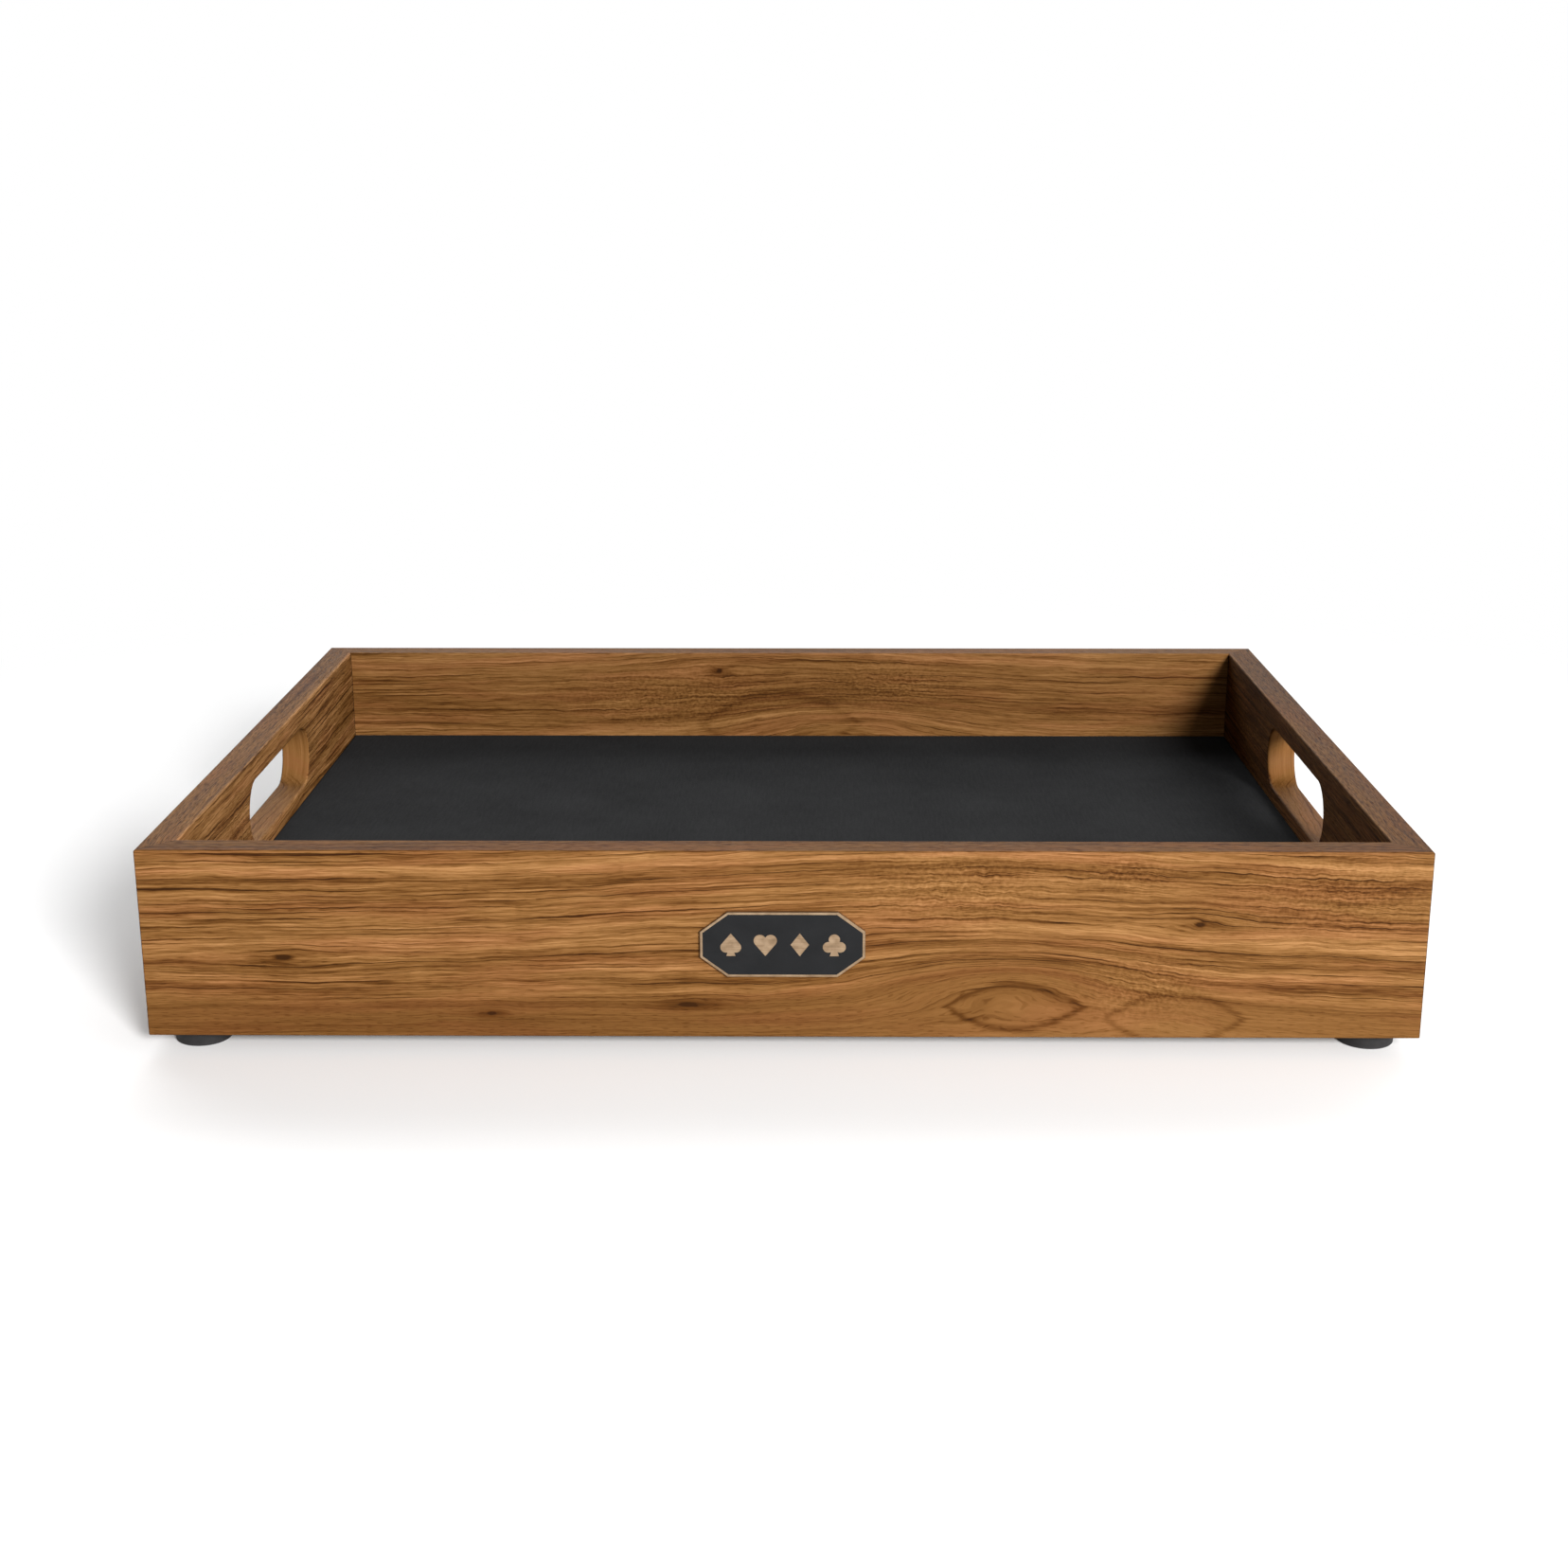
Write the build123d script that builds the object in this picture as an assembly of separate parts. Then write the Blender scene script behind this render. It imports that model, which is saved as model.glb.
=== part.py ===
from build123d import *
from math import asin, atan2, cos, hypot, sin, sqrt
import os

# A walnut serving tray for a games room: four mitred boards stand round a raised, lined floor,
# with a hand slot in each end board, a rubber foot under each corner and a badge on the front.
# X runs along the length, Y from front to back and Z up from the surface that the tray stands on.
# The origin is on that surface, under the middle of the boards. Sizes are in millimetres.

# The box of boards
TRAY_LENGTH = 560.0
TRAY_DEPTH = 406.0
BOARD_HEIGHT = 86.0
BOARD_THICKNESS = 15.0
BOARD_EASE = 0.8
FOOT_HEIGHT = 8.0
BOARD_BOTTOM = FOOT_HEIGHT
BOARD_TOP = BOARD_BOTTOM + BOARD_HEIGHT

# Hand slots, one through each end board
SLOT_LENGTH = 131.0
SLOT_HEIGHT = 32.0
SLOT_BELOW_TOP = 12.0
SLOT_EASE = 1.2
SLOT_CENTRE_Z = BOARD_TOP - SLOT_BELOW_TOP - SLOT_HEIGHT / 2

# The floor: a panel with a balancing sheet under it, held in a groove, and a lining laid on top
GROOVE_DEPTH = 6.0
GROOVE_CLEARANCE = 0.5
PANEL_THICKNESS = 9.0
BACKING_THICKNESS = 0.8
LINING_THICKNESS = 1.2
LINING_EDGE_GAP = 0.2
LINING_BELOW_TOP = 51.0
LINING_TOP = BOARD_TOP - LINING_BELOW_TOP
PANEL_TOP = LINING_TOP - LINING_THICKNESS
BACKING_TOP = PANEL_TOP - PANEL_THICKNESS
BACKING_BOTTOM = BACKING_TOP - BACKING_THICKNESS

# Splines: a strip across each mitre, in a stopped slot that shows at neither end
SPLINE_WIDTH = 10.0
SPLINE_THICKNESS = 2.9
SPLINE_HEIGHT = 64.0
SPLINE_SIDE_PLAY = 0.05
SPLINE_END_PLAY = 0.2
SPLINE_INSET = BOARD_THICKNESS / 2
SPLINE_CENTRE_Z = BOARD_BOTTOM + BOARD_HEIGHT / 2

# Glue blocks in the corners under the floor
BLOCK_SIZE = 24.0
BLOCK_INNER_CHAMFER = 5.0
BLOCK_OUTER_CLIP = 2.0
BLOCK_FAR = BOARD_THICKNESS + BLOCK_SIZE

# Countersunk screws that hold each glue block to its two boards
SCREW_RADIUS = 1.75
SCREW_HEAD_RADIUS = 3.5
SCREW_LENGTH = 30.0
SCREW_TIP = 4.0
SCREW_INSET = 29.5
SCREW_SINK = 4.0
SCREW_BORE_RADIUS = 4.2
SCREW_HOLE_PLAY = 0.05
SCREW_HOLE_SPARE = 0.5
SCREW_Z_END_BOARD = 25.0
SCREW_Z_LONG_BOARD = 15.0
RECESS_WIDTH = 0.9
RECESS_SPAN = 3.6
RECESS_DEPTH = 1.0

# Feet: a rubber disc, a washer and a pan-head screw up into the glue block
FOOT_RADIUS = 12.6
FOOT_SOLE_RADIUS = 12.4
FOOT_EDGE_ROUND = 0.8
FOOT_INSET = 19.0
FOOT_BORE_RADIUS = 6.2
FOOT_BORE_DEPTH = 4.5
FOOT_HOLE_RADIUS = 2.2
WASHER_RADIUS = 6.0
WASHER_THICKNESS = 1.0
FOOT_SCREW_RADIUS = 1.95
FOOT_SCREW_HEAD_RADIUS = 4.0
FOOT_SCREW_HEAD_HEIGHT = 2.3
FOOT_SCREW_HEAD_ROUND = 0.8
FOOT_SCREW_TOP = 22.0
FOOT_SCREW_TIP = 3.5
PILOT_RADIUS = 2.0
PILOT_TOP = 24.0

# Badge on the front board: a brass plate with a raised rim and raised card-suit pips
BADGE_WIDTH = 72.0
BADGE_HEIGHT = 30.0
BADGE_CORNER_X = 12.0
BADGE_CORNER_Z = 9.0
BADGE_BELOW_TOP = 42.0
BADGE_THICKNESS = 1.6
BADGE_EDGE_CHAMFER = 0.25
BADGE_RIM = 1.2
BADGE_RELIEF = 0.5
ENAMEL_THICKNESS = 0.45
TAPE_THICKNESS = 0.4
TAPE_INSET = 1.5
PIP_PITCH = 15.0
PIN_RADIUS = 1.0
PIN_LENGTH = 8.0
PIN_OFFSET = 26.0
PIN_HOLE_PLAY = 0.05
PIN_HOLE_DEPTH = 8.0
BADGE_CENTRE_Z = BOARD_TOP - BADGE_BELOW_TOP

OVERCUT = 1.0


def turned(*outline):
    """A solid turned about Z, from (radius, height) corners."""
    face = make_face(Polyline(*outline, close=True))
    return revolve(Plane.XZ * face, Axis.Z)


def upright_cylinder(radius, low, high):
    """A cylinder about Z from one height to another."""
    return Pos(0, 0, low) * Cylinder(radius, high - low, align=(Align.CENTER, Align.CENTER, Align.MIN))


# Boards. Each is made along X with its outer face at Y = 0 and its inner face at Y = thickness.

def board_blank(length):
    """One grooved board with eased long edges and a mitre at each end."""
    middle_z = BOARD_BOTTOM + BOARD_HEIGHT / 2
    section = Pos(BOARD_THICKNESS / 2, middle_z) * Rectangle(BOARD_THICKNESS, BOARD_HEIGHT)
    section = fillet(section.vertices(), BOARD_EASE)
    groove = Rectangle(2 * GROOVE_DEPTH, PANEL_TOP - BACKING_BOTTOM)
    section -= Pos(BOARD_THICKNESS, (PANEL_TOP + BACKING_BOTTOM) / 2) * groove
    blank = extrude(Plane.YZ * section, length / 2, both=True)
    half = length / 2
    inner_half = half - BOARD_THICKNESS
    corners = ((-half, 0), (half, 0), (inner_half, BOARD_THICKNESS), (-inner_half, BOARD_THICKNESS))
    plan = make_face(Polyline(*corners, close=True))
    return blank & (Pos(0, 0, BOARD_BOTTOM) * extrude(plan, BOARD_HEIGHT))


def spline_slots(length):
    """The stopped slots that a board's two mitred ends have for their splines."""
    slot = Box(
        SPLINE_WIDTH + 2 * SPLINE_END_PLAY,
        SPLINE_THICKNESS + 2 * SPLINE_SIDE_PLAY,
        SPLINE_HEIGHT + 2 * SPLINE_END_PLAY,
    )
    offset_x = length / 2 - SPLINE_INSET
    right = Pos(offset_x, SPLINE_INSET, SPLINE_CENTRE_Z) * Rot(0, 0, 45) * slot
    left = Pos(-offset_x, SPLINE_INSET, SPLINE_CENTRE_Z) * Rot(0, 0, -45) * slot
    return right + left


def block_screw_holes(length, height):
    """Blind holes in a board's inner face for the screws of its two glue blocks."""
    floor_y = BLOCK_FAR - SCREW_SINK - SCREW_LENGTH - SCREW_HOLE_SPARE
    depth = BOARD_THICKNESS - floor_y + OVERCUT
    hole = Rot(-90, 0, 0) * upright_cylinder(SCREW_RADIUS + SCREW_HOLE_PLAY, 0, depth)
    offset_x = length / 2 - SCREW_INSET
    return Pos(offset_x, floor_y, height) * hole + Pos(-offset_x, floor_y, height) * hole


def drilled_board(length, screw_height):
    """A mitred board with its spline slots and the holes for its glue blocks' screws."""
    return board_blank(length) - spline_slots(length) - block_screw_holes(length, screw_height)


def long_board():
    """The front or back board."""
    return drilled_board(TRAY_LENGTH, SCREW_Z_LONG_BOARD)


def end_board():
    """An end board, with its hand slot and the slot's rounded mouths."""
    board = drilled_board(TRAY_DEPTH, SCREW_Z_END_BOARD)
    hand_slot = Pos(0, SLOT_CENTRE_Z) * SlotOverall(SLOT_LENGTH, SLOT_HEIGHT)
    board -= extrude(Plane.XZ * hand_slot, 2 * BOARD_THICKNESS, both=True)
    reach_x = SLOT_LENGTH / 2 + OVERCUT
    reach_z = SLOT_HEIGHT / 2 + OVERCUT
    mouths = board.edges().filter_by_position(Axis.X, -reach_x, reach_x)
    mouths = mouths.filter_by_position(Axis.Z, SLOT_CENTRE_Z - reach_z, SLOT_CENTRE_Z + reach_z)
    mouths = mouths.filter_by(Axis.Y, reverse=True)
    return fillet(mouths, SLOT_EASE)


def front_board():
    """The front board, with blind holes for the badge's pins."""
    hole = Rot(-90, 0, 0) * upright_cylinder(PIN_RADIUS + PIN_HOLE_PLAY, -OVERCUT, PIN_HOLE_DEPTH)
    board = long_board()
    for x in (-PIN_OFFSET, PIN_OFFSET):
        board -= Pos(x, 0, BADGE_CENTRE_Z) * hole
    return Pos(0, -TRAY_DEPTH / 2, 0) * board


def back_board():
    """The back board, turned to face the other way."""
    return Pos(0, TRAY_DEPTH / 2, 0) * Rot(0, 0, 180) * long_board()


def left_end_board():
    """The end board at low X."""
    return Pos(-TRAY_LENGTH / 2, 0, 0) * Rot(0, 0, -90) * end_board()


def right_end_board():
    """The end board at high X."""
    return Pos(TRAY_LENGTH / 2, 0, 0) * Rot(0, 0, 90) * end_board()


# Floor

def floor_sheet(size_x, size_y, low, high):
    """A flat rectangular sheet under the middle of the tray."""
    return Pos(0, 0, (low + high) / 2) * Box(size_x, size_y, high - low)


def panel_size(outer):
    """The panel's size across the tray, given the tray's outer size that way."""
    return outer - 2 * (BOARD_THICKNESS - GROOVE_DEPTH + GROOVE_CLEARANCE)


def lining_size(outer):
    """The lining's size across the tray, given the tray's outer size that way."""
    return outer - 2 * (BOARD_THICKNESS + LINING_EDGE_GAP)


# Corners. Each piece is made at the front left corner and mirrored to the others.

def from_corner(x, y):
    """A place in the front left corner, by its distances from the outer faces of the boards."""
    return Pos(x - TRAY_LENGTH / 2, y - TRAY_DEPTH / 2, 0)


def spline():
    """The strip of wood that crosses the mitre."""
    strip = Box(SPLINE_WIDTH, SPLINE_THICKNESS, SPLINE_HEIGHT)
    return from_corner(SPLINE_INSET, SPLINE_INSET) * Pos(0, 0, SPLINE_CENTRE_Z) * Rot(0, 0, -45) * strip


def cross_recess():
    """A cross-shaped driver recess, from Z = 0 down."""
    arm = Box(RECESS_SPAN, RECESS_WIDTH, 2 * RECESS_DEPTH)
    return arm + Rot(0, 0, 90) * arm


def countersunk_screw():
    """A wood screw along Z, its flat head at Z = 0 and its point down."""
    cone = SCREW_HEAD_RADIUS - SCREW_RADIUS
    body = turned(
        (0, 0),
        (SCREW_HEAD_RADIUS, 0),
        (SCREW_RADIUS, -cone),
        (SCREW_RADIUS, SCREW_TIP - SCREW_LENGTH),
        (0, -SCREW_LENGTH),
    )
    return body - cross_recess()


def countersunk_hole():
    """The counterbored and countersunk way through a glue block for one screw, with its head at Z = 0."""
    head = SCREW_HEAD_RADIUS + SCREW_HOLE_PLAY
    shank = SCREW_RADIUS + SCREW_HOLE_PLAY
    return turned(
        (0, SCREW_SINK + OVERCUT),
        (SCREW_BORE_RADIUS, SCREW_SINK + OVERCUT),
        (SCREW_BORE_RADIUS, 0),
        (head, 0),
        (shank, shank - head),
        (shank, -BLOCK_SIZE),
        (0, -BLOCK_SIZE),
    )


def block_screw_places():
    """Where a glue block's two screws have their heads: one into the end board, one into the long board."""
    head = BLOCK_FAR - SCREW_SINK
    into_end_board = from_corner(head, SCREW_INSET) * Pos(0, 0, SCREW_Z_END_BOARD) * Rot(0, 90, 0)
    into_long_board = from_corner(SCREW_INSET, head) * Pos(0, 0, SCREW_Z_LONG_BOARD) * Rot(-90, 0, 0)
    return into_end_board, into_long_board


def corner_block():
    """A glue block under the floor, drilled for its own screws and for the foot's."""
    middle = BOARD_THICKNESS + BLOCK_SIZE / 2
    block = from_corner(middle, middle) * Pos(0, 0, (BOARD_BOTTOM + BACKING_BOTTOM) / 2) * Box(
        BLOCK_SIZE, BLOCK_SIZE, BACKING_BOTTOM - BOARD_BOTTOM
    )
    by_diagonal = block.edges().filter_by(Axis.Z).sort_by(lambda edge: edge.center().X + edge.center().Y)
    block = chamfer(by_diagonal[-1], BLOCK_INNER_CHAMFER)
    by_diagonal = block.edges().filter_by(Axis.Z).sort_by(lambda edge: edge.center().X + edge.center().Y)
    block = chamfer(by_diagonal[0], BLOCK_OUTER_CLIP)
    for place in block_screw_places():
        block -= place * countersunk_hole()
    return block - from_corner(FOOT_INSET, FOOT_INSET) * upright_cylinder(
        PILOT_RADIUS, BOARD_BOTTOM - OVERCUT, PILOT_TOP
    )


def block_screws():
    """The two screws that hold a glue block."""
    return Compound(children=[place * countersunk_screw() for place in block_screw_places()])


def rubber_foot():
    """A slightly tapered rubber disc with a rounded sole edge, counterbored from below."""
    disc = Pos(0, 0, FOOT_HEIGHT / 2) * Cone(FOOT_SOLE_RADIUS, FOOT_RADIUS, FOOT_HEIGHT)
    disc = fillet(disc.edges().sort_by(Axis.Z)[0], FOOT_EDGE_ROUND)
    disc -= upright_cylinder(FOOT_BORE_RADIUS, -OVERCUT, FOOT_BORE_DEPTH)
    disc -= upright_cylinder(FOOT_HOLE_RADIUS, 0, FOOT_HEIGHT + OVERCUT)
    return from_corner(FOOT_INSET, FOOT_INSET) * disc


def foot_washer():
    """The steel washer at the top of the foot's counterbore."""
    ring = upright_cylinder(WASHER_RADIUS, FOOT_BORE_DEPTH - WASHER_THICKNESS, FOOT_BORE_DEPTH)
    ring -= upright_cylinder(FOOT_HOLE_RADIUS, 0, FOOT_HEIGHT)
    return from_corner(FOOT_INSET, FOOT_INSET) * ring


def foot_screw():
    """The pan-head screw that pulls the foot up against the corner."""
    head_top = FOOT_BORE_DEPTH - WASHER_THICKNESS
    head_low = head_top - FOOT_SCREW_HEAD_HEIGHT
    head = upright_cylinder(FOOT_SCREW_HEAD_RADIUS, head_low, head_top)
    head = fillet(head.edges().sort_by(Axis.Z)[0], FOOT_SCREW_HEAD_ROUND)
    shank = turned(
        (0, head_top),
        (FOOT_SCREW_RADIUS, head_top),
        (FOOT_SCREW_RADIUS, FOOT_SCREW_TOP - FOOT_SCREW_TIP),
        (0, FOOT_SCREW_TOP),
    )
    recess = Pos(0, 0, head_low) * cross_recess()
    return from_corner(FOOT_INSET, FOOT_INSET) * (head + shank - recess)


# Badge. It is drawn on the front board's outer face, and its own Z points out of that face.

BADGE_PLANE = Plane(origin=(0, -TRAY_DEPTH / 2, BADGE_CENTRE_Z), x_dir=(1, 0, 0), z_dir=(0, -1, 0))


def teardrop(centre_x, centre_y, radius, tip_y):
    """A disc drawn out to a point on the Y axis, with straight sides that leave the disc smoothly."""
    reach = hypot(centre_x, centre_y - tip_y)
    side = sqrt(reach**2 - radius**2)
    middle = atan2(centre_y - tip_y, centre_x)
    spread = asin(radius / reach)
    ends = [(side * cos(angle), tip_y + side * sin(angle)) for angle in (middle - spread, middle + spread)]
    web = make_face(Polyline((0, tip_y), ends[0], (centre_x, centre_y), ends[1], close=True))
    return Pos(centre_x, centre_y) * Circle(radius) + web


def heart():
    """A heart pip."""
    lobe_x, lobe_y, radius, tip_y = 2.35, 1.9, 2.7, -5.2
    return teardrop(lobe_x, lobe_y, radius, tip_y) + teardrop(-lobe_x, lobe_y, radius, tip_y)


def stem(top_y):
    """The flared foot of a spade or club pip."""
    waist, base, bottom_y = 0.5, 2.0, -5.2
    corners = ((-waist, top_y), (waist, top_y), (base, bottom_y), (-base, bottom_y))
    return make_face(Polyline(*corners, close=True))


def spade():
    """A spade pip: an upturned heart on a stem."""
    return Pos(0, 0.5) * Rot(0, 0, 180) * scale(heart(), 0.9) + stem(-1.0)


def club():
    """A club pip: three leaves on a stem."""
    radius = 2.45
    leaves = Pos(0, 2.4) * Circle(radius)
    for x in (-2.55, 2.55):
        leaves += Pos(x, -1.1) * Circle(radius)
    return leaves + Circle(1.2) + stem(-0.5)


def diamond():
    """A diamond pip."""
    half_width, half_height = 4.0, 5.3
    return make_face(
        Polyline((0, half_height), (half_width, 0), (0, -half_height), (-half_width, 0), close=True)
    )


def badge_outline():
    """The badge's long octagon."""
    half_x = BADGE_WIDTH / 2
    half_z = BADGE_HEIGHT / 2
    short_x = half_x - BADGE_CORNER_X
    short_z = half_z - BADGE_CORNER_Z
    quarter = [(half_x, short_z), (short_x, half_z)]
    right = [(x, -z) for x, z in reversed(quarter)] + quarter
    left = [(-x, -z) for x, z in right]
    return make_face(Polyline(*right, *left, close=True))


def badge_field():
    """The sunk area inside the rim, round the pips."""
    field = offset(badge_outline(), -BADGE_RIM, kind=Kind.INTERSECTION)
    for index, pip in enumerate((spade(), heart(), diamond(), club())):
        field -= Pos((index - 1.5) * PIP_PITCH, 0) * pip
    return field


def on_badge(sketch, low, high):
    """A layer of the badge, between two distances from the board's face."""
    return BADGE_PLANE.location * Pos(0, 0, low) * extrude(sketch, high - low)


def badge_plate():
    """The brass plate, with a chamfered front edge and a sunk field."""
    top = TAPE_THICKNESS + BADGE_THICKNESS
    plate = on_badge(badge_outline(), TAPE_THICKNESS, top)
    plate = chamfer(plate.faces().sort_by(Axis.Y)[0].edges(), BADGE_EDGE_CHAMFER)
    return plate - on_badge(badge_field(), top - BADGE_RELIEF, top + OVERCUT)


def badge_enamel():
    """The dark fill in the plate's sunk field."""
    low = TAPE_THICKNESS + BADGE_THICKNESS - BADGE_RELIEF
    return on_badge(badge_field(), low, low + ENAMEL_THICKNESS)


def badge_tape():
    """The double-sided tape behind the plate, with holes for the pins."""
    sheet = offset(badge_outline(), -TAPE_INSET, kind=Kind.INTERSECTION)
    for x in (-PIN_OFFSET, PIN_OFFSET):
        sheet -= Pos(x, 0) * Circle(PIN_RADIUS + PIN_HOLE_PLAY)
    return on_badge(sheet, 0, TAPE_THICKNESS)


def badge_pin(x):
    """A pin from the back of the plate into the board."""
    return on_badge(Pos(x, 0) * Circle(PIN_RADIUS), TAPE_THICKNESS - PIN_LENGTH, TAPE_THICKNESS)


def corner_pieces():
    """Every corner piece at all four corners, by node name."""
    made = {
        "mitre_spline": spline(),
        "corner_block": corner_block(),
        "block_screws": block_screws(),
        "rubber_foot": rubber_foot(),
        "foot_washer": foot_washer(),
        "foot_screw": foot_screw(),
    }
    pieces = {}
    for name, front_left in made.items():
        back_left = mirror(front_left, about=Plane.XZ)
        pieces[f"{name}_front_left"] = front_left
        pieces[f"{name}_front_right"] = mirror(front_left, about=Plane.YZ)
        pieces[f"{name}_back_left"] = back_left
        pieces[f"{name}_back_right"] = mirror(back_left, about=Plane.YZ)
    return pieces


def all_pieces():
    """Every piece of the tray, by node name."""
    panel_x = panel_size(TRAY_LENGTH)
    panel_y = panel_size(TRAY_DEPTH)
    lining_x = lining_size(TRAY_LENGTH)
    lining_y = lining_size(TRAY_DEPTH)
    pieces = {
        "front_board": front_board(),
        "back_board": back_board(),
        "left_end_board": left_end_board(),
        "right_end_board": right_end_board(),
        "base_panel": floor_sheet(panel_x, panel_y, BACKING_TOP, PANEL_TOP),
        "base_backing": floor_sheet(panel_x, panel_y, BACKING_BOTTOM, BACKING_TOP),
        "base_lining": floor_sheet(lining_x, lining_y, PANEL_TOP, LINING_TOP),
        "badge_plate": badge_plate(),
        "badge_enamel": badge_enamel(),
        "badge_tape": badge_tape(),
        "badge_pin_left": badge_pin(-PIN_OFFSET),
        "badge_pin_right": badge_pin(PIN_OFFSET),
    }
    pieces.update(corner_pieces())
    return pieces


os.makedirs("parts", exist_ok=True)
for node, shape in all_pieces().items():
    export_step(shape, f"parts/{node}.step")
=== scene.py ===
from collections import namedtuple
import math

import bmesh
import bpy
from mathutils import Matrix, Vector, noise


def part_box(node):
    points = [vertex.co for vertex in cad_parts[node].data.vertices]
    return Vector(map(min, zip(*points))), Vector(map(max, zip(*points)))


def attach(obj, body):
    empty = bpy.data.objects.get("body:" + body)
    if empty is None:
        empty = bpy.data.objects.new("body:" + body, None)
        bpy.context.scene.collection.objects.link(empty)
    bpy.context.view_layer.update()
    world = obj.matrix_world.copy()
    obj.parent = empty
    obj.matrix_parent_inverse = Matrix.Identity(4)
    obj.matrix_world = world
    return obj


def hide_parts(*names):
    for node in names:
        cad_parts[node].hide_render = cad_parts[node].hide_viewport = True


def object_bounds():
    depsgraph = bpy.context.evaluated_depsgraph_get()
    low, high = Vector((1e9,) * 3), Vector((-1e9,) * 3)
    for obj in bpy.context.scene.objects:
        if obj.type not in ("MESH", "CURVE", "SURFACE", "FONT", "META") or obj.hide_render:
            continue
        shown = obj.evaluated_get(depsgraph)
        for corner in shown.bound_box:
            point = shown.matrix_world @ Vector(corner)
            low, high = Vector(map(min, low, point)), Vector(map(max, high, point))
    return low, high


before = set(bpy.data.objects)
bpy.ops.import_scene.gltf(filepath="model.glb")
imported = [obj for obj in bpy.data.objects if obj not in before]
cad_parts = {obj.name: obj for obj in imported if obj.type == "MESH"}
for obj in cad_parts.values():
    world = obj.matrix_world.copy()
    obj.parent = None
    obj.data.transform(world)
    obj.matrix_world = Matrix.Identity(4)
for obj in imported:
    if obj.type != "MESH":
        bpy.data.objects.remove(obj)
cad_low, cad_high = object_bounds()

# The looks of a walnut serving tray: oiled boards, a black leatherette floor, a brass and enamel
# badge, rubber feet and the fittings underneath. Everything is in metres, X along the tray's
# length and Y from front to back. Grain and other fine detail is given in millimetres.
MM = 0.001
PER_MM = 1.0 / MM

# Camera: in front of the tray and a little above it
CAMERA_PLACE = (0.00913, -1.0895, 0.37845)
CAMERA_LENS = 49.7
CAMERA_SENSOR = 36.0
CAMERA_DOWN = math.radians(16.007)
CAMERA_LEFT = math.radians(0.546)
CAMERA_ROLL = math.radians(-0.059)

# Light: a round softbox at the front right, white walls behind and at the right with a long strip
# light on the one behind, a dim reflector in front and a dark room. The strip and the walls are
# given as directions, in parts of a unit vector.
KEY_PLACE = (1.15, -2.84, 1.20)
KEY_AIM = (0.0, 0.0, 0.05)
KEY_WIDTH = 0.85
KEY_WATTS = 173.0
ROOM_LIGHT = 0.03
FRONT_LIGHT = 0.7
WALL_LIGHT = 1.2
STRIP_LIGHT = 3.3
STRIP_LOW = (0.24, 0.36)
STRIP_HIGH = (0.95, 0.75)
WALL_SPREAD = (0.45, 0.75)

# Floor
FLOOR_RADIUS = 4.0
FLOOR_STEPS = 96
FLOOR_ALBEDO = 0.9
FLOOR_FIBRES = 900.0
FLOOR_FADE_START = 0.5
FLOOR_FADE_END = 0.85


class Field:
    """A socket of a node tree that sums can be written on. Each step adds one Math node."""

    def __init__(self, paint, socket):
        self.paint = paint
        self.socket = socket

    def __add__(self, other):
        return self.paint.math("ADD", self, other)

    def __radd__(self, other):
        return self.paint.math("ADD", other, self)

    def __sub__(self, other):
        return self.paint.math("SUBTRACT", self, other)

    def __rsub__(self, other):
        return self.paint.math("SUBTRACT", other, self)

    def __mul__(self, other):
        return self.paint.math("MULTIPLY", self, other)

    def __truediv__(self, other):
        return self.paint.math("DIVIDE", self, other)

    def __abs__(self):
        return self.paint.math("ABSOLUTE", self)

    def exp(self):
        return self.paint.math("EXPONENT", self)

    def fraction(self):
        return self.paint.math("FRACT", self)

    def power(self, exponent):
        return self.paint.math("POWER", self, exponent)

    def clamp(self):
        return self.paint.math("ADD", self, 0.0, use_clamp=True)


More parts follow.
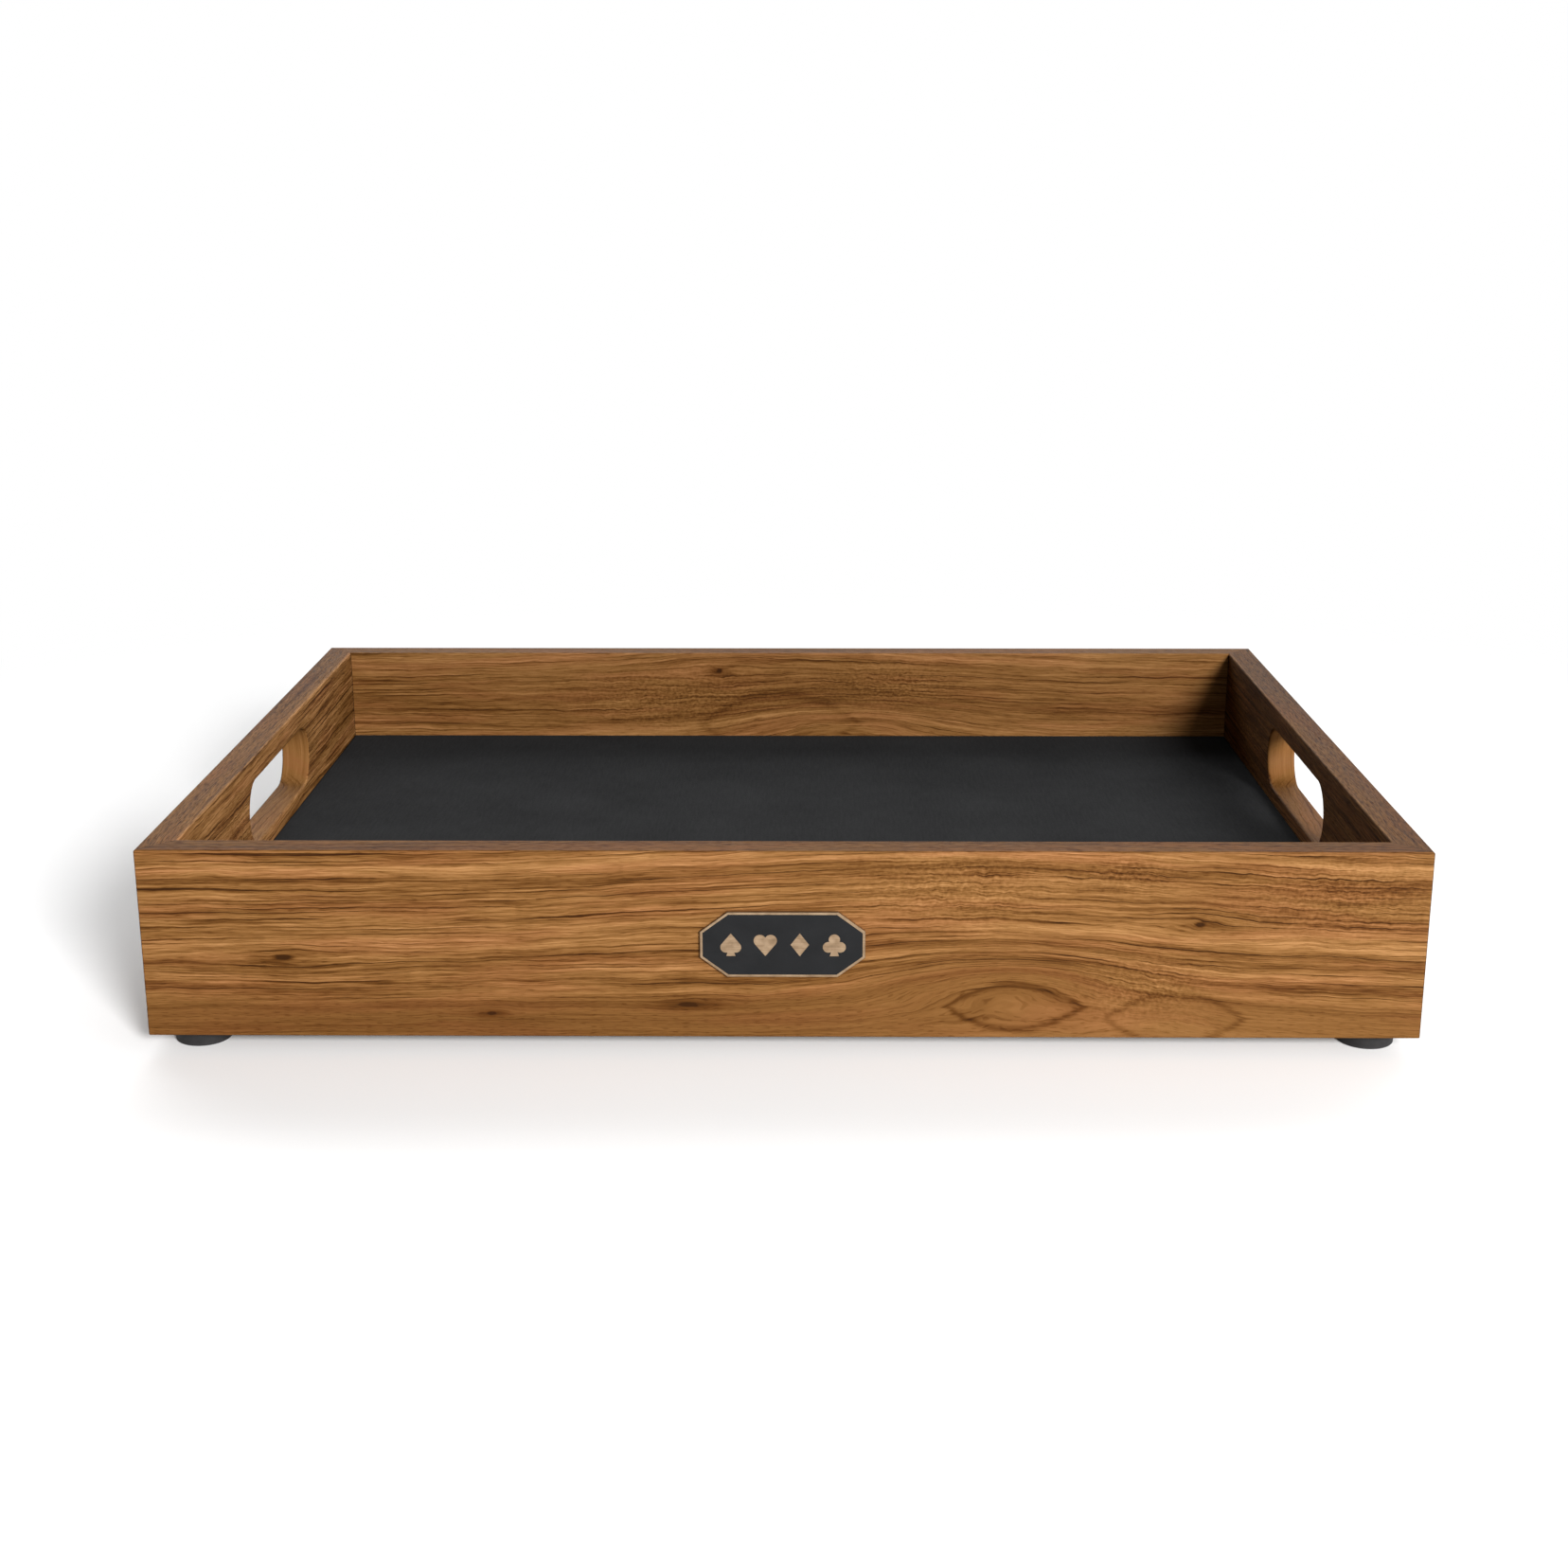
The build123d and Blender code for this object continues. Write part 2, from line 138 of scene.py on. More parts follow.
class Paint:
    """A node tree, with a short call for each kind of node that the materials use."""

    def __init__(self, tree):
        self.tree = tree

    def give(self, socket, value):
        """Links a Field to a socket, or sets the socket to a number or a colour."""
        if isinstance(value, Field):
            self.tree.links.new(value.socket, socket)
        elif socket.type == "RGBA":
            socket.default_value = (*value, 1.0)
        else:
            socket.default_value = value

    def node(self, kind, inputs=(), output=0, **settings):
        """Adds a node and gives one output. inputs holds (socket, value or Field) pairs."""
        made = self.tree.nodes.new("ShaderNode" + kind)
        for name, value in settings.items():
            setattr(made, name, value)
        for key, value in inputs:
            self.give(made.inputs[key], value)
        return Field(self, made.outputs[output])

    def math(self, operation, first, second=0.0, use_clamp=False):
        pairs = [(0, first), (1, second)]
        return self.node("Math", pairs, operation=operation, use_clamp=use_clamp)

    def split(self, vector):
        """The X, Y and Z of a vector."""
        return [self.node("SeparateXYZ", [(0, vector)], output=axis) for axis in range(3)]

    def vector(self, x, y, z):
        return self.node("CombineXYZ", [(0, x), (1, y), (2, z)])

    def place_mm(self):
        """Where the surface point is on the object, as X, Y and Z in millimetres."""
        place = self.node("TexCoord", output="Object")
        return [axis * PER_MM for axis in self.split(place)]

    def facing(self):
        """The X, Y and Z of the surface's own normal."""
        return self.split(self.node("NewGeometry", output="Normal"))

    def noise(self, x, y, z, detail=2.0, roughness=0.5):
        """Smooth noise from 0 to 1 that changes over about one unit of x, y or z."""
        pairs = [("Vector", self.vector(x, y, z)), ("Scale", 1.0), ("Detail", detail),
                 ("Roughness", roughness)]
        return self.node("TexNoise", pairs, output="Fac")

    def cells(self, x, y, z, feature="F1"):
        """Cells about one unit wide, as the distance to their middles or edges."""
        pairs = [("Vector", self.vector(x, y, z)), ("Scale", 1.0)]
        return self.node("TexVoronoi", pairs, output="Distance", feature=feature)

    def step(self, value, low, high):
        """0 below low, 1 above high and smooth between them; low may be above high."""
        pairs = [("Value", value), ("From Min", low), ("From Max", high)]
        return self.node("MapRange", pairs, interpolation_type="SMOOTHSTEP")

    def hill(self, x, y, centre_x, centre_y, reach_x, reach_y):
        """A round hill, 1 at its centre."""
        across = (x - centre_x) * (1.0 / reach_x)
        up = (y - centre_y) * (1.0 / reach_y)
        return ((across * across + up * up) * -1.0).exp()

    def ramp(self, value, stops):
        """A colour from a value, through (place, colour) stops."""
        field = self.node("ValToRGB", [(0, value)])
        elements = field.socket.node.color_ramp.elements
        while len(elements) < len(stops):
            elements.new(0.5)
        for element, (place, colour) in zip(elements, stops):
            element.position = place
            element.color = (*colour, 1.0)
        return field

    def mix(self, amount, first, second, blend="MIX"):
        """The second colour over the first."""
        pairs = [("Factor_Float", amount), ("A_Color", first), ("B_Color", second)]
        made = self.tree.nodes.new("ShaderNodeMix")
        made.data_type = "RGBA"
        made.blend_type = blend
        sockets = {socket.identifier: socket for socket in made.inputs}
        for identifier, value in pairs:
            self.give(sockets[identifier], value)
        outputs = {socket.identifier: socket for socket in made.outputs}
        return Field(self, outputs["Result_Color"])

    def tint(self, colour, brightness):
        """A colour made brighter or darker by a value."""
        grey = self.node("CombineColor", [(0, brightness), (1, brightness), (2, brightness)])
        return self.mix(1.0, colour, grey, blend="MULTIPLY")


class Surface(Paint):
    """A material of one Principled shader."""

    def __init__(self, name):
        self.material = bpy.data.materials.new(name)
        self.material.use_nodes = True
        super().__init__(self.material.node_tree)
        self.shader = self.tree.nodes["Principled BSDF"]

    def finish(self, colour, roughness, height, height_mm, specular=0.5, metallic=0.0):
        """Wires the shader. height is a bump from 0 to 1 that stands height_mm high."""
        bump = self.node("Bump", [("Height", height), ("Distance", height_mm * MM), ("Strength", 1.0)])
        for name, value in (("Base Color", colour), ("Roughness", roughness), ("Normal", bump),
                            ("Specular IOR Level", specular), ("Metallic", metallic)):
            self.give(self.shader.inputs[name], value)
        return self.material


# Walnut. Growth rings run along each board. Bends lift them over a spot, knots part them, bands are
# darker or paler rings, patches are darker or paler areas, eyes are lens-shaped rings that the saw
# has cut through, and ripples cross the rings where the grain curls. All of it is in millimetres.
# A board's streaks are faint below its calm ring, and vigour is how strong they are above it. Each
# kind of noise adds its own number to the board's seed, so that no two of them look alike.
Bend = namedtuple("Bend", "along height reach_along reach_height lift")
Knot = namedtuple("Knot", "along height core_along core_height reach_along reach_height")
Band = namedtuple("Band", "ring width tone")
Patch = namedtuple("Patch", "along height reach_along reach_height tone")
Eye = namedtuple("Eye", "along height reach_along reach_height tone")
Ripple = namedtuple("Ripple", "along height reach_along reach_height")
Figure = namedtuple("Figure", "seed tone vigour calm bends knots bands patches eyes ripples")

WALNUT_SHADES = (
    (0.00, (0.026, 0.0084, 0.0010)),
    (0.25, (0.070, 0.0255, 0.0042)),
    (0.50, (0.132, 0.0575, 0.0146)),
    (0.75, (0.200, 0.0940, 0.0295)),
    (1.00, (0.285, 0.1430, 0.0530)),
)
ROSY_TINT = (1.03, 0.95, 1.02)
GLUE_COLOUR = (0.014, 0.006, 0.003)
WALNUT_TONE = 0.60
# How pale the top edges are painted: painted shade that keeps them darker than the faces
TOP_SHADE_TONE = 0.44
CUT_TONE = 0.62

RING_SPACING_MM = 2.5
RING_UNEVEN_MM = 9.0
RING_SLANT = 0.55
SWAY_MM = 8.0
WAVE_MM = 2.2
FLUTTER_MM = 2.4
QUIVER_MM = 0.2
CURL_MM = 2.6
KNOT_PARTING = 0.6
EYE_LINE = 0.15
EYE_WAVER = 0.5

# How much each kind of noise adds to the tone
BROAD_STRENGTH = 0.3
STREAK_STRENGTH = 1.5
THREAD_STRENGTH = 1.15
RING_LINE_STRENGTH = 0.56
PORE_STRENGTH = 0.12
CURL_STRENGTH = 0.75

# The boards' size. The badge stands out at the front, so the back gives the depth.
HALF_LENGTH_MM = cad_high.x * PER_MM
HALF_DEPTH_MM = cad_high.y * PER_MM
TOP_MM = cad_high.z * PER_MM
BOARD_MM = (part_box("front_board")[1].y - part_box("front_board")[0].y) * PER_MM

FRONT_FIGURE = Figure(
    seed=3.0,
    tone=0.0,
    vigour=1.0,
    calm=24.0,
    bends=(
        Bend(70.0, 80.0, 150.0, 60.0, 9.0),
        Bend(98.0, 34.0, 54.0, 16.0, 15.0),
        Bend(165.0, 18.0, 36.0, 10.0, 5.0),
        Bend(300.0, 15.0, 90.0, 30.0, -4.0),
    ),
    knots=(
        Knot(-218.0, 45.0, 3.4, 1.1, 34.0, 9.0),
        Knot(181.0, 61.0, 2.0, 1.0, 20.0, 7.0),
        Knot(-42.0, 23.5, 2.6, 0.7, 18.0, 4.0),
        Knot(-128.0, 19.0, 1.4, 0.6, 12.0, 3.0),
    ),
    bands=(
        # Painted shade: this band darkens the front board's top edge, and the top of its face a little
        Band(98.0, 5.0, -0.15),
        Band(84.5, 3.2, 0.20),
        Band(79.0, 3.0, -0.14),
        Band(51.0, 3.6, 0.14),
        Band(42.8, 2.4, -0.12),
        Band(36.5, 1.8, 0.16),
        Band(31.0, 2.2, -0.16),
        Band(21.5, 1.8, -0.16),
        Band(13.0, 9.0, -0.12),
    ),
    patches=(
        Patch(-150.0, 10.0, 190.0, 16.0, -0.09),
        Patch(160.0, 12.0, 120.0, 24.0, 0.09),
        Patch(101.0, 22.0, 22.0, 7.0, 0.05),
        Patch(146.0, 18.0, 10.0, 10.0, 0.09),
    ),
    eyes=(Eye(101.5, 22.5, 30.0, 10.5, -0.28), Eye(172.0, 17.0, 30.0, 12.0, -0.20)),
    ripples=(
        Ripple(75.0, 78.0, 40.0, 16.0),
        Ripple(150.0, 84.0, 18.0, 8.0),
        Ripple(240.0, 74.0, 44.0, 16.0),
        Ripple(158.0, 32.0, 26.0, 14.0),
    ),
)
BACK_FIGURE = Figure(
    seed=17.0,
    tone=-0.03,
    vigour=0.75,
    calm=-30.0,
    bends=(
        Bend(-10.0, 96.0, 120.0, 40.0, 7.0),
        Bend(35.0, 52.0, 70.0, 16.0, 12.0),
    ),
    knots=(Knot(-42.0, 83.0, 1.3, 1.0, 30.0, 9.0),),
    bands=(Band(54.0, 2.5, 0.14), Band(70.0, 6.0, -0.08), Band(98.0, 5.0, 0.17)),
    patches=(Patch(-10.0, 76.0, 90.0, 22.0, -0.07),),
    eyes=(Eye(-5.0, 50.0, 48.0, 19.0, -0.16),),
    ripples=(Ripple(-70.0, 66.0, 60.0, 16.0), Ripple(60.0, 74.0, 40.0, 14.0)),
)
LEFT_FIGURE = Figure(
    seed=29.0,
    # The left board's tone is partly its own paler wood and partly painted light for its inner face, which
    # faces the key light
    tone=0.09,
    vigour=1.3,
    calm=-30.0,
    bends=(Bend(60.0, 30.0, 60.0, 18.0, 8.0),),
    knots=(),
    bands=(
        Band(87.0, 1.6, -0.15),
        Band(75.0, 2.0, -0.18),
        Band(66.0, 1.4, -0.15),
        Band(58.0, 4.0, 0.12),
        Band(49.0, 2.2, -0.18),
        Band(39.0, 1.6, -0.16),
        Band(29.0, 2.0, -0.16),
    ),
    patches=(Patch(120.0, 56.0, 70.0, 16.0, -0.10),),
    eyes=(),
    ripples=(Ripple(-90.0, 60.0, 50.0, 20.0),),
)
RIGHT_FIGURE = Figure(
    seed=41.0,
    # The right board's tone is partly its own darker wood and partly painted shade for its inner face, which
    # the key light does not reach
    tone=-0.21,
    vigour=0.9,
    calm=-30.0,
    bends=(Bend(-40.0, 34.0, 70.0, 18.0, 9.0),),
    knots=(Knot(96.0, 24.0, 3.0, 1.2, 24.0, 8.0),),
    bands=(Band(50.0, 4.0, 0.12), Band(30.0, 2.0, -0.14)),
    # Painted shade: this patch darkens the right board towards its back end, on both faces, where the corner
    # lies in shadow
    patches=(Patch(120.0, 60.0, 90.0, 50.0, -0.10),),
    eyes=(Eye(40.0, 18.0, 44.0, 8.0, -0.2),),
    ripples=(Ripple(110.0, 66.0, 40.0, 16.0),),
)


def hill_at(paint, along, height, spot):
    """A hill over one spot of a figure."""
    return paint.hill(along, height, spot.along, spot.height, spot.reach_along, spot.reach_height)


def ridge(away):
    """A ridge, 1 where away is 0 and gone where it is 2."""
    return (away * away * -1.0).exp()


def growth(paint, along, depth, height, curl, figure):
    """How far a point lies through the growth rings, in mm: its height where nothing bends them.

    The rings slant through the board, so they rise with the depth below its outer face. They
    quiver where the grain curls.
    """
    seed = figure.seed
    sway = paint.noise(along / 300.0, height / 90.0, seed, detail=1.0)
    wave = paint.noise(along / 70.0, height / 26.0, seed + 5.0)
    flutter = paint.noise(along / 24.0, height / 10.0, seed + 8.0)
    quiver = paint.noise(along / 5.0, height / 7.0, seed + 6.0, detail=1.0)
    rings = height + depth * RING_SLANT
    rings = rings + (sway - 0.5) * SWAY_MM + (wave - 0.5) * WAVE_MM + (flutter - 0.5) * FLUTTER_MM
    rings = rings + (quiver - 0.5) * (curl * CURL_MM + QUIVER_MM)
    for bend in figure.bends:
        rings = rings - hill_at(paint, along, height, bend) * bend.lift
    for knot in figure.knots:
        rings = rings - (height - knot.height) * hill_at(paint, along, height, knot) * KNOT_PARTING
    return rings


def ring_lines(paint, along, rings, seed):
    """How dark the growth lines are: each ring darkens slowly, and then sharply at its end."""
    uneven = paint.noise(along / 500.0, rings / 5.5, seed + 11.0)
    turn = ((rings + (uneven - 0.5) * RING_UNEVEN_MM) / RING_SPACING_MM).fraction()
    late = paint.step(turn, 0.25, 0.95) * 0.3 + paint.step(turn, 0.80, 0.90) * 0.7
    strength = paint.noise(along / 150.0, rings / 3.0, seed + 13.0)
    return late * paint.step(turn, 1.0, 0.96) * paint.step(strength, 0.36, 0.62)


def figure_tone(paint, along, height, rings, threads, curl, figure):
    """What a figure's bands, patches, eyes, curl and knots add to the tone."""
    waves = paint.noise(along / 1.9, rings / 1.7, figure.seed + 7.0, detail=1.0)
    tone = (waves - 0.5) * curl * CURL_STRENGTH
    for band in figure.bands:
        tone = tone + ridge((rings - band.ring) * (1.0 / band.width)) * band.tone
    for patch in figure.patches:
        tone = tone + hill_at(paint, along, height, patch) * patch.tone
    for eye in figure.eyes:
        out = (along - eye.along) * (1.0 / eye.reach_along)
        up = (height - eye.height) * (1.0 / eye.reach_height)
        off_outline = out * out + abs(up) + (threads - 0.5) * EYE_WAVER - 1.0
        tone = tone + ridge(off_outline / EYE_LINE) * eye.tone
    for knot in figure.knots:
        at_knot = along, height, knot.along, knot.height
        smudge = paint.hill(*at_knot, knot.core_along * 6.0, knot.core_height * 3.6)
        heart = paint.hill(*at_knot, knot.core_along, knot.core_height)
        tone = tone - smudge * 0.26 - heart * 0.8
    return tone


def cut_tone(paint, tone, along, depth, height, facing_up, facing_end, seed):
    """The tone where a board is cut across its rings.

    The top edge is painted darker as shade, with open pores and a painted highlight along its
    inner rim. The floor of a handle slot is evened out, and its ends show end grain.
    """
    on_top = facing_up * paint.step(height, TOP_MM - 3.0, TOP_MM - 1.0)
    slits = paint.noise((along + depth * 1.4) / 7.0, depth / 0.5, seed + 43.0)
    # A painted highlight: a pale line along the inner edge of the top, where the rounded edge would catch the
    # light
    rim = paint.step(depth, BOARD_MM - 1.7, BOARD_MM - 0.6)
    # Painted shade pulls the top edge's tone down; the slits are open pores
    top_shade_highlight_and_pores = (TOP_SHADE_TONE - tone) * 0.5 + rim * 0.20 - paint.step(slits, 0.48, 0.62) * 0.30
    tone = tone + on_top * top_shade_highlight_and_pores
    tone = tone + (facing_up - on_top) * (CUT_TONE - tone) * 0.5
    rays = paint.noise(depth / 1.3, height / 60.0, seed + 41.0, detail=4.0, roughness=0.75)
    return tone + ((rays - 0.5) * 0.9 + CUT_TONE - tone) * facing_end


def walnut(name, figure, grain_along_x):
    """Oiled walnut, with the grain along the board. Its tone runs from 0, dark, to 1, pale."""
    surface = Surface(name)
    x, y, z = surface.place_mm()
    along, across = (x, y) if grain_along_x else (y, x)
    depth = (HALF_DEPTH_MM if grain_along_x else HALF_LENGTH_MM) - abs(across)
    facing_x, facing_y, facing_z = surface.facing()
    facing_along = facing_x if grain_along_x else facing_y
    seed = figure.seed

    curl = 0.0
    for ripple in figure.ripples:
        curl = curl + hill_at(surface, along, z, ripple)
    rings = growth(surface, along, depth, z, curl, figure)
    broad = surface.noise(along / 240.0, rings / 14.0, seed + 2.0, detail=1.0)
    streaks = surface.noise(along / 150.0, rings / 3.2, seed + 3.0, detail=4.0, roughness=0.85)
    threads = surface.noise(along / 26.0, rings / 0.9, depth / 0.9 + seed, roughness=0.8)
    pores = surface.noise(along / 4.5, rings / 0.36, depth / 0.36 + seed, detail=0.0)
    pores = surface.step(pores, 0.58, 0.72)

    lively = surface.step(rings, figure.calm - 4.0, figure.calm + 8.0) * 0.7 + 0.3
    tone = (broad - 0.5) * BROAD_STRENGTH + (streaks - 0.5) * STREAK_STRENGTH
    tone = tone + (threads - 0.5) * THREAD_STRENGTH
    tone = tone - ring_lines(surface, along, rings, seed) * RING_LINE_STRENGTH
    tone = tone * lively * figure.vigour + (WALNUT_TONE + figure.tone) - pores * PORE_STRENGTH
    tone = tone + figure_tone(surface, along, z, rings, threads, curl, figure)
    facing_up = surface.step(facing_z, 0.6, 0.9)
    facing_end = surface.step(abs(facing_along), 0.30, 0.75)
    tone = cut_tone(surface, tone, along, depth, z, facing_up, facing_end, seed)

    colour = surface.ramp(tone.clamp(), WALNUT_SHADES)
    hue = surface.noise(along / 90.0, rings / 9.0, seed + 21.0)
    rosy = surface.mix(1.0, colour, ROSY_TINT, blend="MULTIPLY")
    colour = surface.mix(surface.step(hue, 0.42, 0.68), colour, rosy)

    # The glued mitre shows as a hair line at each corner
    off_mitre = abs((HALF_LENGTH_MM - abs(x)) - (HALF_DEPTH_MM - abs(y)))
    joint = surface.step(off_mitre, 0.34, 0.12)
    colour = surface.mix(joint * 0.75, colour, GLUE_COLOUR)

    roughness = 0.58 + (streaks - 0.5) * 0.25 + pores * 0.15 + facing_up * 0.07
    height = threads * 0.5 + streaks * 0.4 - pores * 0.6 - joint
    return surface.finish(colour, roughness, height, 0.06, specular=0.05)


def leatherette():
    """Matt black leatherette with a fine pebbled grain, cloudy, with a faint nap from front to back."""
    surface = Surface("black_leatherette")
    x, y, z = surface.place_mm()
    warp = surface.noise(x / 3.0, y / 3.0, 0.0, detail=1.0)
    pebbles = surface.cells(x / 0.75 + warp, y / 0.75 - warp, 0.0)
    off_crease = surface.cells(x / 1.6 + warp, y / 1.6, 4.0, feature="DISTANCE_TO_EDGE")
    plain = surface.step(off_crease, 0.0, 0.12)
    cloud = surface.noise(x / 55.0, y / 55.0, 2.0, detail=3.0)
    specks = surface.noise(x / 0.5, y / 0.5, z / 0.5, detail=1.0)
    nap = surface.noise(x / 1.3, y / 14.0, 6.0, detail=1.0)
    tone = (cloud - 0.5) * 0.9 + (nap - 0.5) * 0.5 + 0.5 - (pebbles - 0.4) * 0.35
    colour = surface.ramp(tone, ((0.0, (0.0190, 0.0193, 0.0199)), (1.0, (0.0328, 0.0334, 0.0343))))
    roughness = 0.60 + (cloud - 0.5) * 0.12 + specks * 0.08
    height = plain * 0.6 - pebbles * 0.5 + specks * 0.1
    return surface.finish(colour, roughness, height, 0.06, specular=0.0)


def rubber():
    """Black moulded rubber, slightly greyed, with a fine spark-eroded skin and a scuffed sole."""
    surface = Surface("moulded_rubber")
    x, y, z = surface.place_mm()
    grain = surface.noise(x / 0.22, y / 0.22, z / 0.22)
    bloom = surface.noise(x / 5.0, y / 5.0, z / 5.0, detail=3.0)
    dust = surface.step(surface.noise(x / 0.7, y / 0.7, z / 0.7, detail=1.0), 0.66, 0.76)
    scuffed = surface.step(z, 1.6, 0.2)
    tone = bloom * 0.8 + scuffed * 0.35 + dust * 0.25
    colour = surface.ramp(tone, ((0.0, (0.0100, 0.0096, 0.0098)), (1.0, (0.027, 0.0255, 0.026))))
    roughness = 0.62 + (bloom - 0.5) * 0.2 + scuffed * 0.1
    return surface.finish(colour, roughness, grain + dust * 0.5, 0.05, specular=0.2)


def brass():
    """Antique brass, brushed along the badge, browned in cloudy spots and bright between them."""
    surface = Surface("antique_brass")
    x, y, z = surface.place_mm()
    brushing = surface.noise(x / 14.0, y / 0.16, z / 0.16, detail=3.0, roughness=0.65)
    tarnish = surface.noise(x / 5.0, y / 5.0, z / 4.0)
    bright = surface.step(brushing * 0.45 + tarnish * 0.6, 0.30, 0.74)
    colour = surface.ramp(bright, ((0.0, (0.21, 0.140, 0.082)), (0.5, (0.34, 0.235, 0.145)),
                                   (1.0, (0.47, 0.340, 0.220))))
    roughness = 0.44 - bright * 0.14 + (brushing - 0.5) * 0.2
    return surface.finish(colour, roughness, brushing, 0.012, metallic=1.0)


def enamel():
    """Dark slate enamel, satin, with a faint orange peel and fine flakes."""
    surface = Surface("slate_enamel")
    x, y, z = surface.place_mm()
    peel = surface.noise(x / 1.1, y, z / 1.1)
    flakes = surface.step(surface.noise(x / 0.25, y / 0.25, z / 0.25, detail=1.0), 0.6, 0.8)
    shade = surface.noise(x / 12.0, y / 12.0, z / 9.0)
    tone = shade * 0.8 + flakes * 0.5
    colour = surface.ramp(tone, ((0.0, (0.0050, 0.0052, 0.0057)), (1.0, (0.0120, 0.0124, 0.0134))))
    roughness = 0.46 + (peel - 0.5) * 0.16
    return surface.finish(colour, roughness, peel, 0.03, specular=0.12)


def zinc_steel():
    """Zinc plate with a yellowish cast, fine scratches and a few dull spots."""
    surface = Surface("zinc_plate")
    x, y, z = surface.place_mm()
    spangle = surface.noise(x / 0.9, y / 0.9, z / 0.9, detail=3.0)
    scratches = surface.noise(x / 4.0, y / 0.12, z / 0.12)
    dull = surface.step(surface.noise(x / 2.2, y / 2.2, z / 2.2, detail=3.0), 0.45, 0.7)
    colour = surface.ramp(spangle * 0.6 + dull * 0.4,
                          ((0.0, (0.63, 0.63, 0.60)), (0.6, (0.52, 0.52, 0.49)), (1.0, (0.36, 0.35, 0.31))))
    roughness = 0.26 + dull * 0.24 + (scratches - 0.5) * 0.12
    return surface.finish(colour, roughness, spangle + scratches * 0.4, 0.01, metallic=1.0)


PLY_MM = 1.29


def birch_plywood():
    """Sanded birch plywood: seven plies show at an edge and a rotary-cut figure on the faces."""
    surface = Surface("birch_plywood")
    x, y, z = surface.place_mm()
    facing_z = surface.facing()[2]
    sway = surface.noise(x / 120.0, y / 40.0, 3.0)
    figure = surface.noise(x / 160.0, y / 7.0 + sway * 5.0, 1.0, detail=3.0)
    fibres = surface.noise(x / 6.0, y / 0.35, 1.0)
    face = surface.ramp(figure * 0.75 + fibres * 0.25,
                        ((0.3, (0.44, 0.29, 0.155)), (0.7, (0.60, 0.43, 0.26))))

    # Every other ply is turned, with a dark glue line between two plies
    plies = (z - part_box("base_panel")[0].z * PER_MM) / PLY_MM
    glue = surface.step(abs(plies.fraction() - 0.5), 0.40, 0.46)
    turned = surface.step((plies / 2.0).fraction(), 0.49, 0.51)
    edge_fibres = surface.noise((x + y) / 0.5, z / 0.4, 5.0)
    edge = surface.ramp(edge_fibres * 0.5 + turned * 0.5,
                        ((0.2, (0.27, 0.16, 0.075)), (0.9, (0.52, 0.36, 0.20))))
    edge = surface.mix(glue * 0.75, edge, (0.07, 0.035, 0.018))

    colour = surface.mix(surface.step(abs(facing_z), 0.6, 0.4), face, edge)
    roughness = 0.62 + (fibres - 0.5) * 0.2
    return surface.finish(colour, roughness, fibres, 0.04, specular=0.3)


def balancing_veneer():
    """Unfinished walnut veneer, dull and dusty, that backs the floor panel in two leaves."""
    surface = Surface("balancing_veneer")
    x, y = surface.place_mm()[:2]
    sway = surface.noise(x / 210.0, y / 60.0, 31.0)
    rings = y + (sway - 0.5) * 46.0
    lines = ring_lines(surface, x, rings / 2.2, 31.0)
    bands = surface.noise(x / 260.0, rings / 16.0, 32.0)
    streaks = surface.noise(x / 40.0, rings / 1.6, 33.0, detail=3.0)
    fibres = surface.noise(x / 7.0, y / 0.4, 34.0)
    leaf_joint = surface.step(abs(y), 0.35, 0.1)
    tone = 0.55 + (bands - 0.5) * 0.8 + (streaks - 0.5) * 0.5 + (fibres - 0.5) * 0.25 - lines * 0.25
    colour = surface.ramp(tone.clamp(), ((0.0, (0.058, 0.028, 0.012)), (0.5, (0.140, 0.072, 0.032)),
                                         (1.0, (0.235, 0.135, 0.068))))
    colour = surface.mix(leaf_joint * 0.8, colour, (0.03, 0.015, 0.008))
    roughness = 0.68 + (fibres - 0.5) * 0.2
    height = fibres + streaks * 0.5 - leaf_joint
    return surface.finish(colour, roughness, height, 0.05, specular=0.25)


def hardwood():
    """Plain sawn maple for the glue blocks and splines, with the grain upright."""
    surface = Surface("plain_hardwood")
    x, y, z = surface.place_mm()
    rings = x * 0.8 + y * 0.6
    sway = surface.noise(z / 60.0, rings / 12.0, 8.0)
    grain = surface.noise(z / 34.0, (rings + sway * 6.0) / 1.5, 9.0, detail=3.0)
    fibres = surface.noise(z / 4.0, x / 0.3, y / 0.3)
    saw_marks = abs((z / 1.8 + sway * 0.6).fraction() - 0.5)
    end_grain = surface.noise(x / 0.35, y / 0.35, 2.0)
    at_end = surface.step(abs(surface.facing()[2]), 0.5, 0.8)
    colour = surface.ramp(grain * 0.75 + fibres * 0.25,
                          ((0.25, (0.36, 0.22, 0.11)), (0.5, (0.50, 0.335, 0.18)), (0.8, (0.62, 0.45, 0.27))))
    colour = surface.tint(colour, 1.0 - at_end * (0.22 + end_grain * 0.3))
    roughness = 0.66 + (fibres - 0.5) * 0.2
    height = fibres * 0.5 + saw_marks * 0.35 * (1.0 - at_end) + end_grain * at_end * 0.6
    return surface.finish(colour, roughness, height, 0.09, specular=0.3)


def foam_tape():
    """Black foam tape with small open cells."""
    surface = Surface("foam_tape")
    x, y, z = surface.place_mm()
    cells = surface.cells(x / 0.35, y / 0.35, z / 0.35)
    tone = surface.noise(x / 2.0, y / 2.0, z / 2.0)
    colour = surface.ramp(cells * 0.6 + tone * 0.4,
                          ((0.0, (0.020, 0.020, 0.021)), (1.0, (0.058, 0.058, 0.060))))
    return surface.finish(colour, 0.8 - cells * 0.1, cells, 0.08)


